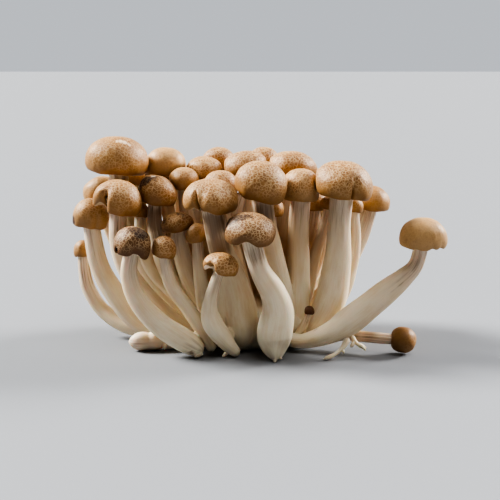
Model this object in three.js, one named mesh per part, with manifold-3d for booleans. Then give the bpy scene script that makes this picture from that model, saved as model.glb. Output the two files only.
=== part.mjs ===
// A cluster of beech mushrooms, as cut from its block: small brown caps on long cream stems that
// grow together at one lumpy base. Millimetres, +Z up, and the front of the cluster looks to -Y.
// The origin is the middle of the flat cut face under the base.

import * as THREE from "three";
import { mergeVertices } from "three/addons/utils/BufferGeometryUtils.js";
import Module from "manifold-3d";

const wasm = await Module();
wasm.setup();

// Driving dimensions: the base that the stems grow from
const BASE_HALF_WIDTH = 26;
const BASE_HALF_DEPTH = 19;
const BASE_HEIGHT = 18;
const BASE_SEGMENTS = 26;

// Driving dimensions: stems and caps
const CLEARANCE = 0.35;
const THICK_STEM_RADIUS = 3.7;
const THICK_STEM_SIDES = 9;
const THIN_STEM_SIDES = 6;
const BIG_CAP_WIDTH = 17;
const BIG_CAP_SEGMENTS = 20;
const SMALL_CAP_WIDTH = 11;
const SMALL_CAP_SEGMENTS = 10;
const CAP_SEGMENTS = 14;
const STEPS_PER_STRETCH = 2;
const CEILING = 0.3;
const GILL_DEPTH = 0.13;
const RIM_RADIUS = 0.84;

// The cap's outline from its crown to its rim, in cap radii and cap heights
const CAP_OUTLINE = [[0, 1], [0.42, 0.94], [0.76, 0.72], [0.97, 0.4], [0.96, 0.14], [RIM_RADIUS, 0]];

// The mushrooms. rim is the middle of the cap's rim, wide and tall are the cap's size, axis is the
// way that the crown points, neck is the stem's radius under the cap, and stem is its way up from
// the foot as x, y, z and radius. cleft is a split: its bearing and half width in degrees, its depth.
// root is what joins a foot that stands out in front to the base.
const MUSHROOMS = [
  // The left side
  { rim: [-53.4, 4, 67.9], wide: 25, tall: 14.3, axis: [0.12, -0.05, 1], neck: 3.7,
    stem: [[-22, 0, 7, 3.6], [-40, 4, 26, 4], [-50.5, 5.5, 50, 3.8]] },
  { rim: [-34.5, 13, 65.2], wide: 17.5, tall: 11.8, axis: [0.05, 0.1, 1], neck: 2.8,
    stem: [[-16, 7, 8, 3], [-28, 11, 30, 3], [-33.5, 13, 52, 2.8]] },
  { rim: [-60, 14, 55.8], wide: 15, tall: 9.5, axis: [-0.2, 0.1, 1], neck: 2.4,
    stem: [[-24, 8, 6, 2.8], [-45, 12, 22, 2.8], [-57, 13.5, 42, 2.5]] },
  { rim: [-52, -10, 54], wide: 19.2, tall: 12.2, axis: [0.24, -0.05, 1], neck: 3.1,
    stem: [[-17, -8, 6, 3.8], [-27, -10, 7.5, 4], [-42, -12, 22, 4], [-50.5, -12, 38, 3.5]],
    cleft: [234, 14, 0.22] },
  { rim: [-64.2, 2, 46.6], wide: 14, tall: 11, axis: [0.15, -0.1, 1], neck: 3.2,
    stem: [[-20, -3, 6, 3], [-32, -3, 5, 3.1], [-45, -1, 7.5, 3.6], [-55, 1, 20, 4.2],
      [-61, 2, 32, 3.8]] },
  { rim: [-37.9, -3, 56.8], wide: 16.8, tall: 10.6, axis: [0.2, -0.1, 1], neck: 2.6,
    stem: [[-14, -6, 8, 3.6], [-31, -6, 27, 3.6], [-37, -4.5, 45, 3]], cleft: [165, 24, 0.2] },
  { rim: [-68, 10, 33], wide: 7.6, tall: 6.5, axis: [-0.1, 0, 1], neck: 2.2,
    stem: [[-20, 0, 6, 2.8], [-34, 0, 4.5, 2.8], [-49, 3, 4.8, 3], [-60, 8, 10.5, 3],
      [-66, 10, 19, 2.9], [-67.8, 10, 27, 2.5]] },
  { rim: [-45.2, -24, 39.5], wide: 14.8, tall: 10.5, axis: [0.25, -0.15, 1], neck: 2.7,
    stem: [[-17.8, -29.5, 2.6, 2.6], [-24, -27.5, 5.8, 4.4], [-34.5, -25, 12, 4.5],
      [-42.5, -24.5, 21, 3.8], [-46, -24, 31, 3.2]], cleft: [285, 22, 0.18],
    root: [[-23, -26, 6.5, 3.6], [-12, -10, 8, 4.5]] },
  { rim: [-33.6, -22, 38.7], wide: 10.2, tall: 7.5, axis: [0.28, -0.12, 1], neck: 2,
    stem: [[-14, -25.5, 1.8, 1.8], [-17.6, -23, 8.6, 2.9], [-24, -22, 18, 2.7],
      [-30.5, -22, 27.5, 2.4]],
    root: [[-17.5, -22.5, 8, 2.4], [-9, -9, 8, 3.5]] },
  { rim: [-27.8, -10, 46.5], wide: 13.2, tall: 7, axis: [-0.12, -0.05, 1], neck: 3,
    stem: [[-12, -8, 8, 3.8], [-22, -9, 24, 4], [-27, -9.5, 38, 3.4]] },
  { rim: [-44, 0, 50.6], wide: 7.2, tall: 6.2, axis: [0.1, 0, 1], neck: 2.1,
    stem: [[-18, 0, 8, 3.4], [-36, 1, 26, 3.8], [-43, 0, 40, 2.7]] },

  // The middle
  { rim: [-26, 3, 62], wide: 13, tall: 8, axis: [-0.15, -0.1, 1], neck: 2.6,
    stem: [[-10, 2, 10, 3.2], [-20, 3, 30, 3.4], [-25, 3, 50, 2.9]] },
  { rim: [-18.4, 11, 63.7], wide: 17, tall: 10, axis: [0, 0, 1], neck: 2.9,
    stem: [[-8, 8, 10, 3.4], [-15, 10, 35, 3.6], [-18, 11, 52, 3.1]] },
  { rim: [-13, 24, 66], wide: 15, tall: 10.5, axis: [0, 0.1, 1], neck: 2.8,
    stem: [[-5, 14, 10, 3.4], [-10, 20, 35, 3.6], [-12.5, 23.5, 55, 3.1]] },
  { rim: [-14.9, -22, 56.3], wide: 21.4, tall: 11.4, axis: [0.06, -0.14, 1], neck: 4.1,
    stem: [[-3, -21, 2, 5.4], [-4.5, -17.5, 12, 7.8], [-7, -17.5, 27, 6.2], [-11.8, -19.8, 43, 4.6]],
    cleft: [249, 12, 0.2] },
  { rim: [-11.5, -4, 59.8], wide: 14, tall: 9.5, axis: [0, 0.05, 1], neck: 2.6,
    stem: [[3, -14, 4, 2.8], [0.5, -14, 12, 3.6], [-3, -13, 24, 3.5], [-6.5, -10, 38, 3.1],
      [-10, -6, 50, 2.7]] },
  { rim: [-1.6, 10, 66.3], wide: 19, tall: 9.5, axis: [-0.1, 0, 1], neck: 3.1,
    stem: [[0, 5, 10, 3.6], [-1, 8, 35, 3.6], [-1.5, 10, 54, 3.2]] },
  { rim: [5.5, 26, 66.8], wide: 13.5, tall: 9.5, axis: [0.1, 0.1, 1], neck: 2.6,
    stem: [[2, 16, 10, 3.2], [4, 22, 35, 3.2], [5, 25.5, 55, 2.8]] },
  { rim: [3.1, -15, 61], wide: 20.3, tall: 13.2, axis: [0.28, -0.28, 1], neck: 4,
    stem: [[11, -13, 3, 3.8], [13, -13.5, 11, 4.8], [12, -13.5, 24, 4.5], [8.5, -14, 40, 4.1],
      [5.8, -14, 52, 3.9]] },
  { rim: [-20.3, -14.5, 43], wide: 8.6, tall: 6.8, axis: [-0.1, -0.1, 1], neck: 2.1,
    stem: [[-12, -13, 6, 2.4], [-17, -13.5, 14.5, 3], [-18.8, -14, 25, 2.9], [-19.8, -14.5, 34, 2.4]] },
  { rim: [-0.4, -33, 45.8], wide: 19.3, tall: 10.3, axis: [0.02, -0.2, 1], neck: 3.5,
    stem: [[9.8, -35.6, 0.8, 1.8], [9.3, -32.5, 5.5, 5.6], [9.3, -31.5, 10.5, 6.8],
      [10.5, -31, 18.5, 6.3], [8.5, -31.5, 26, 5.2], [3.5, -32.5, 35, 3.9]], cleft: [150, 16, 0.18],
    root: [[9.5, -31, 9, 4.2], [7, -9, 9, 5.5]] },
  { rim: [-11.2, -32, 33.6], wide: 13, tall: 7.6, axis: [0.12, -0.1, 1], neck: 1.9,
    stem: [[-4.2, -29, 1.2, 1.6], [-8.5, -29, 5.5, 3], [-14, -30.5, 13.5, 3.9],
      [-15.2, -31, 20, 3], [-13.8, -31.5, 27, 2.4]], cleft: [232, 18, 0.25],
    root: [[-10, -29, 8, 2.6], [-5, -10, 9, 4]] },

  // The right side
  { rim: [16.5, 10, 66], wide: 20, tall: 9.8, axis: [0.05, 0, 1], neck: 3.2,
    stem: [[8, 6, 10, 3.8], [14, 9, 35, 3.8], [17, 10, 54, 3.4]] },
  { rim: [19.9, -8, 58.7], wide: 15.7, tall: 11.8, axis: [0, -0.12, 1], neck: 3.8,
    stem: [[15, -9, 4, 4], [18.3, -9, 14, 5], [19, -8.5, 30, 4.7], [19, -8, 46, 4.1]] },
  { rim: [35.3, -13, 60.7], wide: 22.9, tall: 13, axis: [0.12, -0.1, 1], neck: 4.3,
    stem: [[13, -8, 6, 4.2], [20, -12, 5.5, 4.4], [26.5, -13, 10, 5.6], [31.6, -13.5, 20, 6.1],
      [34.2, -13.5, 36, 5.2], [34.6, -13, 50, 4.6]], cleft: [289, 8, 0.12] },
  { rim: [49.2, 12, 52], wide: 15.5, tall: 9.5, axis: [0.1, 0, 1], neck: 3,
    stem: [[18, 5, 7, 3.4], [34, 8, 22, 3.6], [44, 11, 38, 3.4]] },
  { rim: [41, -0.5, 52.6], wide: 8, tall: 5.8, axis: [0.1, 0, 1], neck: 2,
    stem: [[15, -2, 6, 3], [34, -1, 16, 3.2], [40, 0, 30, 3], [42, 0, 42, 2.3]] },
  { rim: [26.5, 4, 52.6], wide: 10, tall: 7, axis: [0, 0, 1], neck: 2.2,
    stem: [[12, 0, 9, 2.8], [21, 3, 26, 3], [25, 4, 42, 2.5]] },
  { rim: [31, -2.5, 54], wide: 7.6, tall: 5, axis: [0.1, 0, 1], neck: 1.7,
    stem: [[15, -5, 6, 2.2], [22, -4.5, 18, 2.5], [25.5, -4, 34, 2.4], [29, -3.5, 46, 2]] },
  { rim: [22.8, -20, 15.5], wide: 4, tall: 3.2, axis: [0.1, -0.2, 1], neck: 1.1,
    stem: [[12, -11, 6, 2.4], [17.4, -17.5, 4.6, 2.1], [20.6, -19.2, 10, 1.6]] },
  { rim: [66.1, -18, 41.3], wide: 18.6, tall: 11.3, axis: [0.06, -0.05, 1], neck: 2.8,
    stem: [[11, -10, 6, 3], [17, -20, 4.6, 2.6], [23, -23, 5.6, 3], [31, -25, 9, 4.3],
      [38, -24, 13.2, 5.4], [51.5, -20, 23.2, 4.9], [59, -18.5, 29, 3.8], [64, -18, 34.5, 3]] },
  { rim: [54.4, -22.5, 5.6], wide: 10.3, tall: 9.6, axis: [1, -0.12, 0], neck: 2,
    stem: [[12, -7, 6, 2.6], [24, -11, 5.6, 2.4], [36, -15.5, 5.8, 2.3], [47, -20.5, 6, 2.2]] },
  { rim: [8, -1, 51], wide: 11, tall: 7.5, axis: [0, 0, 1], neck: 2.5,
    stem: [[6, 0, 9, 3.4], [8, -1, 24, 3.6], [8, -1, 40, 3]] },
  { rim: [29.5, 11, 44.5], wide: 9.5, tall: 7, axis: [0.1, 0, 1], neck: 2.3,
    stem: [[12, 5, 8, 3], [23, 9, 22, 3.2], [28.5, 11, 35, 2.7]] },

  // The back
  { rim: [-47, 25, 60], wide: 16, tall: 10, axis: [-0.1, 0.1, 1], neck: 3.1,
    stem: [[-18, 12, 8, 3.6], [-36, 20, 28, 3.8], [-45, 24.5, 46, 3.4]] },
  { rim: [-30, 31, 58.5], wide: 17, tall: 10.5, axis: [-0.05, 0.1, 1], neck: 3.4,
    stem: [[-11, 13, 8, 4], [-22, 23, 28, 4.2], [-29, 30, 46, 3.7]] },
  { rim: [-57, 30, 43], wide: 12, tall: 8, axis: [-0.2, 0.2, 1], neck: 2.7,
    stem: [[-16, 9, 6, 3.4], [-40, 21.5, 17, 3.5], [-54, 29, 33, 2.9]] },
  { rim: [-12, 41, 58], wide: 17, tall: 10.5, axis: [0, 0.15, 1], neck: 3.4,
    stem: [[-5, 17, 8, 4], [-9, 31, 26, 4.2], [-12, 40, 46, 3.7]] },
  { rim: [7, 42, 61], wide: 16, tall: 10, axis: [0.05, 0.1, 1], neck: 3.3,
    stem: [[4, 17, 8, 4], [6, 32, 28, 4.1], [7, 41, 48, 3.6]] },
  { rim: [22, 28, 59.5], wide: 16.5, tall: 10, axis: [0.1, 0.1, 1], neck: 3.3,
    stem: [[8, 12, 9, 3.8], [16, 21, 30, 3.9], [21, 27, 48, 3.5]] },
  { rim: [36, 20, 59], wide: 14, tall: 9.5, axis: [0.1, 0.1, 1], neck: 3,
    stem: [[13, 9, 8, 3.6], [27, 16, 28, 3.7], [34, 19.5, 46, 3.2]] },
  { rim: [24, 43, 49], wide: 14, tall: 9, axis: [0.1, 0.2, 1], neck: 3,
    stem: [[7, 12, 7, 3.6], [17, 31, 19, 3.8], [23, 42, 36, 3.3]] },
  { rim: [40, 33, 44], wide: 13, tall: 8.5, axis: [0.15, 0.15, 1], neck: 2.8,
    stem: [[12, 10, 6, 3.6], [29, 25, 18, 3.6], [38, 32, 33, 3]] },
  { rim: [-30, 45, 47], wide: 14, tall: 9, axis: [-0.1, 0.2, 1], neck: 3,
    stem: [[-9, 12, 6, 3.6], [-21, 33, 17, 3.7], [-29, 44, 34, 3.2]] },
  { rim: [-44, 39, 33], wide: 11, tall: 8, axis: [-0.2, 0.25, 1], neck: 2.6,
    stem: [[-12, 10, 6, 3.4], [-31, 29, 10, 3.5], [-42, 38, 22, 2.9]] },
  { rim: [0, 51, 39], wide: 12, tall: 8, axis: [0, 0.25, 1], neck: 2.7,
    stem: [[0, 14, 6, 3.4], [0, 37, 11, 3.6], [0, 49, 27, 3]] },
];

// What grows from the base with no cap: a blunt stub lying at the left, and torn root threads
const STUBS = [
  [[-16, -6, 6, 3.4], [-28, -14, 4.2, 3.3], [-36, -16.5, 3.8, 3.6], [-43.5, -17.5, 3.7, 3.5],
    [-47.2, -18, 3.6, 1.4]],
  [[-33.2, -19.2, 0.9, 0.7], [-33, -18.6, 3, 1], [-31, -17, 5, 1.4]],
  [[27.5, -32, 0.9, 0.6], [31, -31, 2.2, 1.1], [35, -29.5, 5, 1.2], [37.5, -27, 8, 1.6]],
  [[42.4, -28.5, 4.2, 0.6], [39.8, -28, 6.4, 1.2], [38, -25.5, 9, 1.6]],
];

const creamStem = new THREE.MeshStandardMaterial({ color: 0xe6dcc8, roughness: 0.7, metalness: 0 });
const brownCap = new THREE.MeshStandardMaterial({ color: 0xb58a5c, roughness: 0.6, metalness: 0 });

// A repeatable draw between 0 and 1
function seededDraw(seed) {
  let state = seed * 7919 + 17;
  return () => {
    state = (state * 16807) % 2147483647;
    return state / 2147483647;
  };
}

// One closed solid out of a geometry whose seams and poles still hold double points
function solidOf(geometry) {
  const shape = geometry.clone();
  shape.deleteAttribute("normal");
  shape.deleteAttribute("uv");
  const merged = mergeVertices(shape, 1e-4);
  const corners = merged.index.array;
  const faces = [];
  for (let k = 0; k < corners.length; k += 3) {
    const [a, b, c] = corners.slice(k, k + 3);
    if (a !== b && b !== c && c !== a) faces.push(a, b, c);
  }
  return new wasm.Manifold(new wasm.Mesh({
    numProp: 3,
    vertProperties: new Float32Array(merged.attributes.position.array),
    triVerts: new Uint32Array(faces),
  }));
}

// The named mesh of a solid
function meshOf(solid, name, material) {
  const { vertProperties, triVerts } = solid.getMesh();
  const geometry = new THREE.BufferGeometry();
  geometry.setAttribute("position", new THREE.BufferAttribute(new Float32Array(vertProperties), 3));
  geometry.setIndex(Array.from(triVerts));
  geometry.computeVertexNormals();
  const mesh = new THREE.Mesh(geometry, material);
  mesh.name = name;
  return mesh;
}

// A round stem through its points, each with its radius. endAxis, where given, squares off its top.
function stemSolid(points, endAxis) {
  const thickest = Math.max(...points.map((point) => point[3]));
  const sides = thickest > THICK_STEM_RADIUS ? THICK_STEM_SIDES : THIN_STEM_SIDES;
  const curve = new THREE.CatmullRomCurve3(points.map(([x, y, z]) => new THREE.Vector3(x, y, z)));
  const stretches = points.length - 1;
  const steps = stretches * STEPS_PER_STRETCH;
  const towardBack = new THREE.Vector3(0, 1, 0);
  const rings = [];
  for (let k = 0; k <= steps; k += 1) {
    const along = curve.getTangent(k / steps);
    if (k === steps && endAxis) along.copy(endAxis);
    const across = new THREE.Vector3().crossVectors(towardBack, along).normalize();
    const third = new THREE.Vector3().crossVectors(across, along);
    const place = Math.min(k / STEPS_PER_STRETCH, stretches - 1e-6);
    const before = Math.floor(place);
    const radius = THREE.MathUtils.lerp(points[before][3], points[before + 1][3], place - before);
    rings.push({ centre: curve.getPoint(k / steps), across, third, radius });
  }
  const geometry = new THREE.CylinderGeometry(1, 1, 1, sides, steps);
  const position = geometry.attributes.position;
  const point = new THREE.Vector3();
  for (let k = 0; k < position.count; k += 1) {
    point.fromBufferAttribute(position, k);
    const ring = rings[Math.round((point.y + 0.5) * steps)];
    const moved = ring.centre.clone();
    moved.addScaledVector(ring.across, point.x * ring.radius);
    moved.addScaledVector(ring.third, point.z * ring.radius);
    position.setXYZ(k, moved.x, moved.y, moved.z);
  }
  return solidOf(geometry);
}

// The lumpy base: flat underneath, bulging out over its own foot, with knobs all round
function baseSolid() {
  const outline = [[0, 0], [0.86, 0], [1.02, 0.16], [1.08, 0.42], [0.92, 0.72], [0.55, 0.95], [0, 1]];
  const profile = outline.map(([radius, height]) => new THREE.Vector2(radius, height));
  const geometry = new THREE.LatheGeometry(profile, BASE_SEGMENTS);
  geometry.rotateX(Math.PI / 2);
  const position = geometry.attributes.position;
  for (let k = 0; k < position.count; k += 1) {
    const x = position.getX(k);
    const y = position.getY(k);
    const z = position.getZ(k);
    const bearing = Math.atan2(y, x);
    const knobs = 1 + 0.05 * Math.sin(7 * bearing + 1) + 0.04 * Math.sin(11 * bearing + 2.5 + 3 * z);
    position.setXYZ(k, x * knobs * BASE_HALF_WIDTH, y * knobs * BASE_HALF_DEPTH, z * BASE_HEIGHT);
  }
  return solidOf(geometry);
}

// The way that a cap's crown points
function axisOf(mushroom) {
  return new THREE.Vector3(...mushroom.axis).normalize();
}

// The stem's points, with the last one just under the ceiling of the cap
function stemPoints(mushroom) {
  const top = new THREE.Vector3(...mushroom.rim);
  top.addScaledVector(axisOf(mushroom), CEILING * mushroom.tall - CLEARANCE);
  return [...mushroom.stem, [top.x, top.y, top.z, mushroom.neck]];
}

// How many degrees one bearing is from another
function bearingGap(bearing, other) {
  return Math.abs(((bearing - other + 540) % 360) - 180);
}

// A bigger cap has more sides and gills
function capSegments(mushroom) {
  if (mushroom.wide > BIG_CAP_WIDTH) return BIG_CAP_SEGMENTS;
  if (mushroom.wide < SMALL_CAP_WIDTH) return SMALL_CAP_SEGMENTS;
  return CAP_SEGMENTS;
}

// A cap with a rolled-in rim and coarse gills, in its own frame with the crown up
function capGeometry(mushroom, seed) {
  const draw = seededDraw(seed);
  const radius = mushroom.wide / 2;
  const segments = capSegments(mushroom);
  const ceiling = CEILING * mushroom.tall;
  const profile = CAP_OUTLINE.map(([r, h]) => new THREE.Vector2(r * radius, h * mushroom.tall));
  const gillOuter = 0.72 * radius;
  const gillInner = Math.min(mushroom.neck + 0.6, 0.6 * radius);
  profile.push(new THREE.Vector2(gillOuter, 0.5 * ceiling));
  profile.push(new THREE.Vector2(gillInner, ceiling));
  profile.push(new THREE.Vector2(0, ceiling));
  profile.reverse();
  const geometry = new THREE.LatheGeometry(profile, segments);
  geometry.rotateX(Math.PI / 2);

  const phases = [draw() * 6.28, draw() * 6.28, draw() * 6.28];
  const position = geometry.attributes.position;
  const rows = profile.length;
  for (let k = 0; k < position.count; k += 1) {
    const row = k % rows;
    const segment = Math.floor(k / rows) % segments;
    const x = position.getX(k);
    const y = position.getY(k);
    const z = position.getZ(k);
    const bearing = Math.atan2(y, x);
    const outward = Math.hypot(x, y) / radius;
    let spread = 1 + 0.035 * Math.sin(2 * bearing + phases[0]) + 0.02 * Math.sin(3 * bearing + phases[1]);
    let lift = 0.035 * radius * Math.sin(3 * bearing + phases[2]) * outward ** 3;
    if (mushroom.cleft) {
      const [middle, halfWidth, depth] = mushroom.cleft;
      const near = bearingGap(THREE.MathUtils.radToDeg(bearing), middle) / halfWidth;
      const pull = depth * Math.exp(-near * near) * outward ** 4;
      spread -= pull;
      lift += 0.4 * pull * mushroom.tall;
    }
    const isGill = row === 1 || row === 2;
    const groove = isGill && segment % 2 === 1 ? GILL_DEPTH * mushroom.tall : 0;
    if (row <= 1) spread = 1;
    if (row <= 1) lift = 0;
    position.setXYZ(k, x * spread, y * spread, z + lift + groove);
  }
  return geometry;
}

// The middle of a cap's bulk, and its reach from there in any direction
function bulkOf(mushroom) {
  const axis = axisOf(mushroom);
  const centre = new THREE.Vector3(...mushroom.rim).addScaledVector(axis, 0.38 * mushroom.tall);
  return { centre, axis, across: 0.53 * mushroom.wide, up: 0.63 * mushroom.tall };
}

function reachOf(bulk, direction) {
  const rise = direction.dot(bulk.axis);
  const side = Math.sqrt(Math.max(0, 1 - rise * rise));
  return Math.hypot(bulk.across * side, bulk.up * rise);
}

// The planes where a cap's neighbours press against it: each has its point and outward normal
function pressPlanes(mushroom) {
  const own = bulkOf(mushroom);
  const planes = [];
  for (const other of MUSHROOMS) {
    if (other === mushroom) continue;
    const bulk = bulkOf(other);
    const normal = bulk.centre.clone().sub(own.centre);
    const distance = normal.length();
    normal.normalize();
    const ownReach = reachOf(own, normal);
    const otherReach = reachOf(bulk, normal);
    if (distance > ownReach + otherReach + CLEARANCE) continue;
    const share = distance * ownReach / (ownReach + otherReach) - CLEARANCE / 2;
    planes.push({ point: own.centre.clone().addScaledVector(normal, share), normal });
  }
  return planes;
}

// A cap in its place, flattened where its neighbours press on it
function capSolid(mushroom, seed) {
  const geometry = capGeometry(mushroom, seed);
  const turn = new THREE.Quaternion().setFromUnitVectors(new THREE.Vector3(0, 0, 1), axisOf(mushroom));
  geometry.applyQuaternion(turn);
  geometry.translate(...mushroom.rim);
  const planes = pressPlanes(mushroom);
  const position = geometry.attributes.position;
  const point = new THREE.Vector3();
  for (let k = 0; k < position.count; k += 1) {
    point.fromBufferAttribute(position, k);
    for (const plane of planes) {
      const beyond = point.clone().sub(plane.point).dot(plane.normal);
      if (beyond > 0) point.addScaledVector(plane.normal, -beyond);
    }
    position.setXYZ(k, point.x, point.y, point.z);
  }
  return solidOf(geometry);
}

// All the stems grown together with the base, cut off flat underneath
function stemsAndBase() {
  let grown = baseSolid();
  for (const mushroom of MUSHROOMS) {
    grown = grown.add(stemSolid(stemPoints(mushroom), axisOf(mushroom)));
    if (mushroom.root) grown = grown.add(stemSolid(mushroom.root));
  }
  for (const stub of STUBS) {
    grown = grown.add(stemSolid(stub));
  }
  const underGround = new THREE.BoxGeometry(200, 200, 40);
  underGround.translate(0, 0, -20);
  const cut = grown.subtract(solidOf(underGround));
  const bodies = cut.decompose().sort((one, other) => other.volume() - one.volume());
  return bodies[0];
}

const cluster = new THREE.Group();
cluster.add(meshOf(stemsAndBase(), "stems_and_base", creamStem));
MUSHROOMS.forEach((mushroom, index) => {
  const name = `cap_${String(index + 1).padStart(2, "0")}`;
  cluster.add(meshOf(capSolid(mushroom, index + 1), name, brownCap));
});

export default cluster;
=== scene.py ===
# A cluster of brown beech mushrooms: speckled round caps on long cream stems, grown together at
# one base that is cut off flat. Metres, +Z up, and the front of the cluster looks to -Y.

import math

import bmesh
import bpy
from mathutils import Matrix, Vector, noise


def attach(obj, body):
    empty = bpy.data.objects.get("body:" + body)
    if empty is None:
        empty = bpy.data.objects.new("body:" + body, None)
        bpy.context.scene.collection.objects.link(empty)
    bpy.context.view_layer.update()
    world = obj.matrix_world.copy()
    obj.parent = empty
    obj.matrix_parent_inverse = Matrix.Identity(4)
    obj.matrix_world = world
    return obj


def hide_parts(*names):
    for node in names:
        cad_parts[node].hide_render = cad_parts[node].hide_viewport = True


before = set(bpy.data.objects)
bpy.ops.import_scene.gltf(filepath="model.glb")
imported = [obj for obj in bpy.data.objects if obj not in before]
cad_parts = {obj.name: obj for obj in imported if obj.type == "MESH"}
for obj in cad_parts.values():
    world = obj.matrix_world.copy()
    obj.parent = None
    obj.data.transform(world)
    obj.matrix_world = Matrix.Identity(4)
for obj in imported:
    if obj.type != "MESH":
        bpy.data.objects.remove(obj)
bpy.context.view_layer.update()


# The stems and the base
# One cream body: long fibrous stems, round in section, bent outwards and thicker below, that are
# grown together at a lumpy base. A blunt stub and torn root threads grow from the same base.

# Lengths are in millimetres. CEILING is how high the hollow under a cap reaches, as a share of the
# cap's height, and CLEARANCE is the gap between neighbours. RIDGES, FLUTES and SWELL are how far a
# stem's radius strays, and END_ROUNDING is how long its round end is, as shares of the radius.
MM = 0.001
CEILING = 0.3
CLEARANCE = 0.35
BASE_HALF_WIDTH = 26
BASE_HALF_DEPTH = 19
BASE_HEIGHT = 18
STEM_SIDES = 32
STEM_STEP = 1.1
RIDGES = 0.07
FLUTES = 0.03
SWELL = 0.05
END_ROUNDING = 0.8
LOWEST = 0.02

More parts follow.
